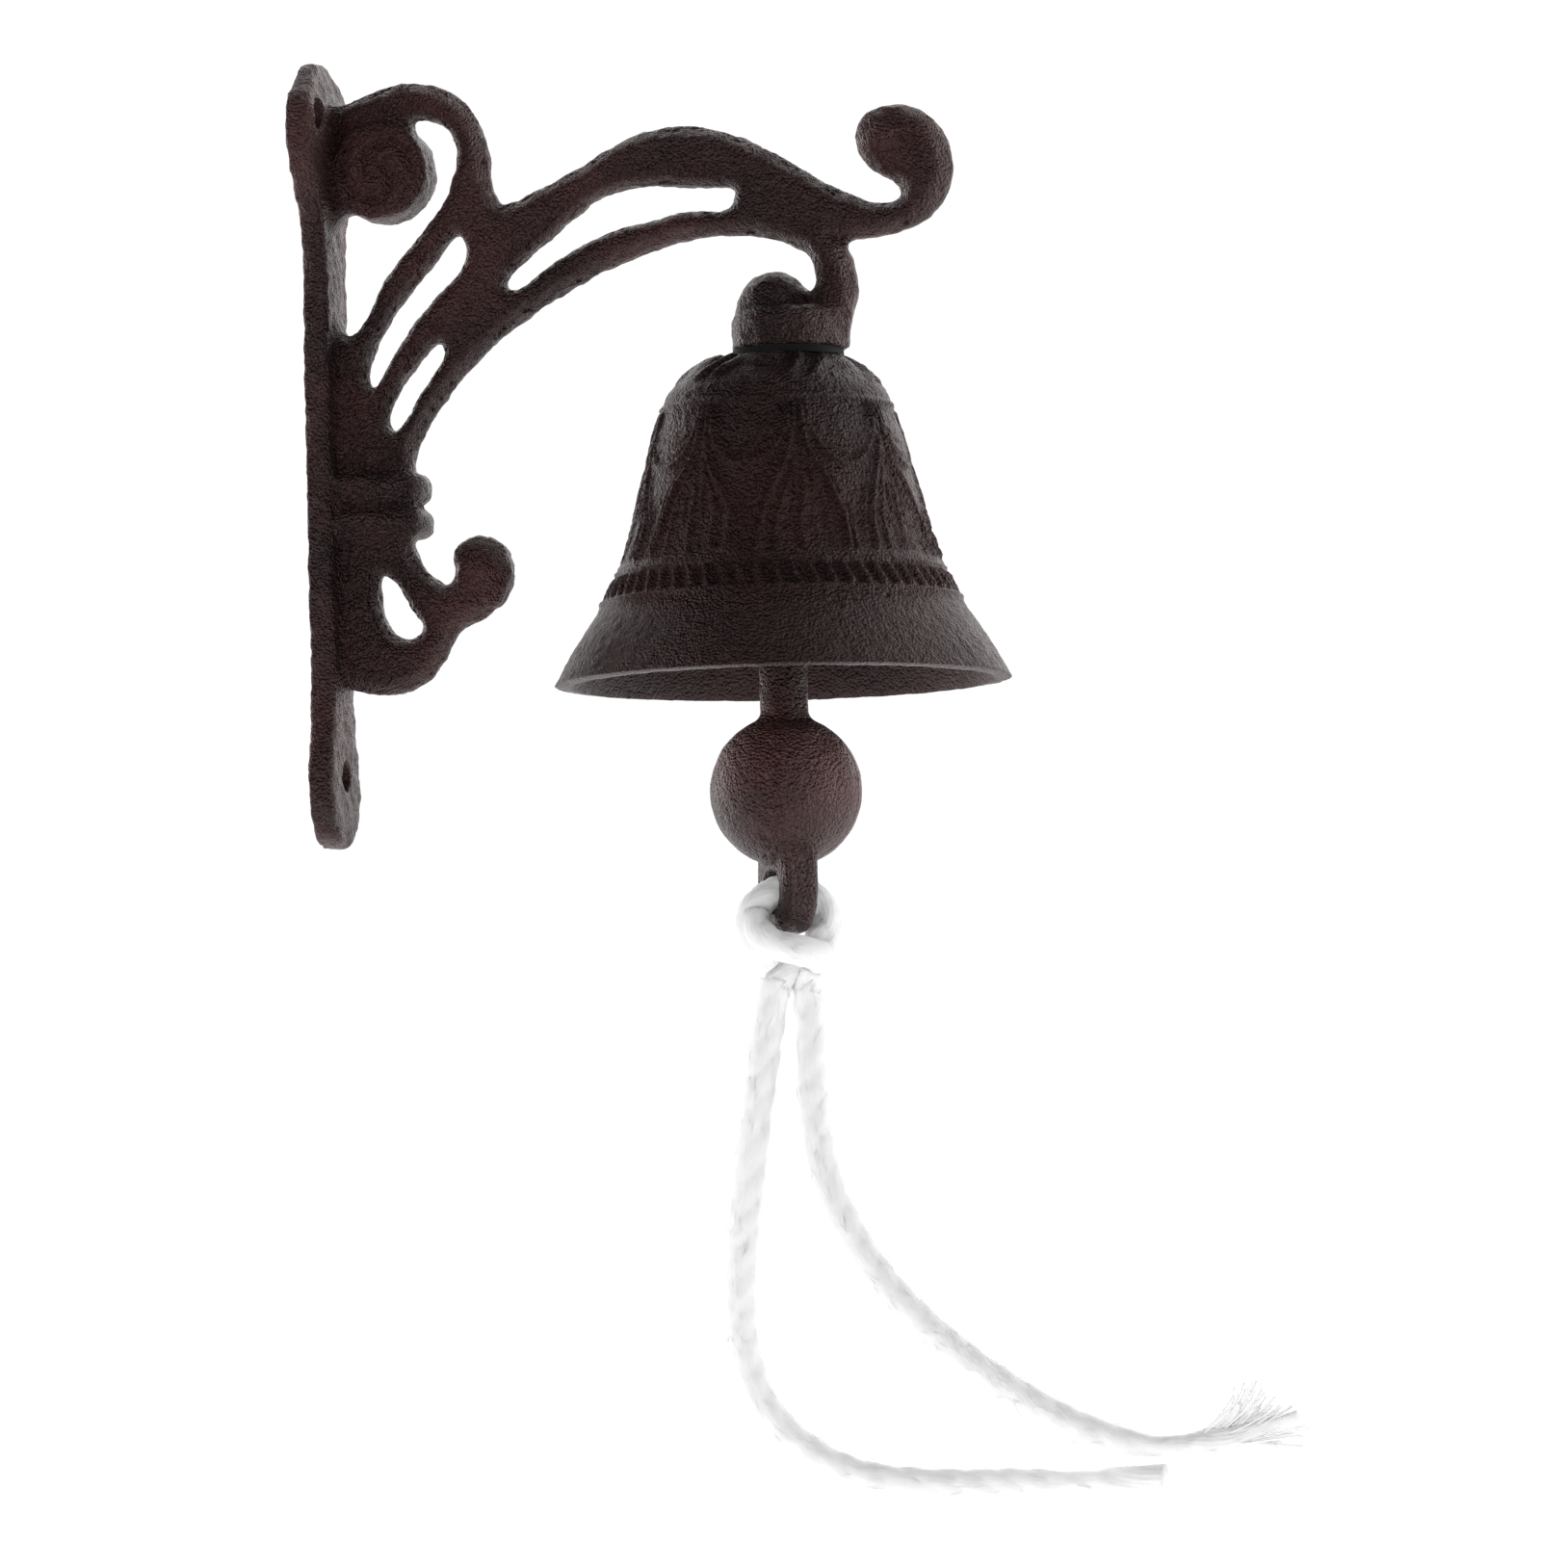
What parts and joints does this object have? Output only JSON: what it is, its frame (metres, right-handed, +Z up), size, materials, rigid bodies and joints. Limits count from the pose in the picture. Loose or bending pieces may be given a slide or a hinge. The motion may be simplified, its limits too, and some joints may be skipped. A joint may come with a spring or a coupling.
{
  "type": "wall bell",
  "caption": "Cast-iron wall bell with a scroll bracket, a flared bell clamped under the arm, and a swinging clapper with a cotton pull rope.",
  "frame": {"origin": "on the wall face, midway between the two upper screw holes", "axes": "+X out from the wall, along the screws; +Z up, along the hanging bell and rope; +Y across the plate"},
  "size_m": [0.2043, 0.0952, 0.3051],
  "materials": {
    "cast_iron": "satin paint",
    "black_rubber": "matt",
    "plated_steel": "satin",
    "cotton_rope": "soft twisted cotton"
  },
  "bodies": {
    "bracket_and_bell": {"bracket": "cast_iron", "bell": "cast_iron", "spacer_washer": "black_rubber", "eye_bolt": "plated_steel", "crown_nut": "plated_steel", "crown_washer": "plated_steel"},
    "hook_link": {"hook_link": "plated_steel"},
    "clapper": {"clapper": "cast_iron", "rope_loop": "cotton_rope", "rope_knot": "cotton_rope", "rope_left_tail": "cotton_rope", "rope_right_tail": "cotton_rope"}
  },
  "joints": [
    {"name": "link_swing", "type": "hinge", "parent": "bracket_and_bell", "child": "hook_link", "pos_m": [0.0995, 0, -0.0789], "axis": [1, 0, 0], "range_deg": [-8, 8]},
    {"name": "clapper_swing", "type": "hinge", "parent": "hook_link", "child": "clapper", "pos_m": [0.0995, 0, -0.0879], "axis": [0, 1, 0], "range_deg": [-34, 34]}
  ]
}
